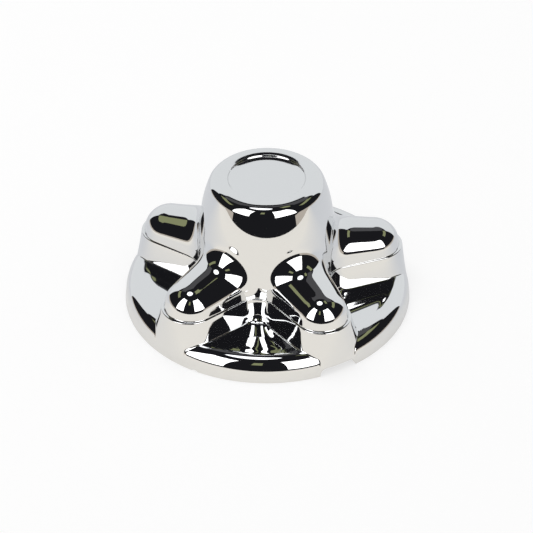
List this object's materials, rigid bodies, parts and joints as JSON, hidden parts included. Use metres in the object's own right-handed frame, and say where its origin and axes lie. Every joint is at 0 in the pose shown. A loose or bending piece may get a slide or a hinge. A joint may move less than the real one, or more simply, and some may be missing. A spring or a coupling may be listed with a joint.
{
  "type": "axle hub cover",
  "caption": "Chrome-plated push-on cover that hides a trailer wheel's hub and its nuts, with a round rim, hollow arms over the nuts and a hollow dome over the hub",
  "frame": {"origin": "centre of the rim's foot, on the wheel's axis", "axes": "+Z runs out of the wheel along its axis, and -Y runs through the middle of the front pocket, between two arms"},
  "size_m": [0.1516, 0.1516, 0.0747],
  "materials": {
    "chrome_plate": "bright chrome plate on moulded plastic"
  },
  "bodies": {
    "root": {"hub_cover": "chrome_plate"}
  },
  "joints": []
}
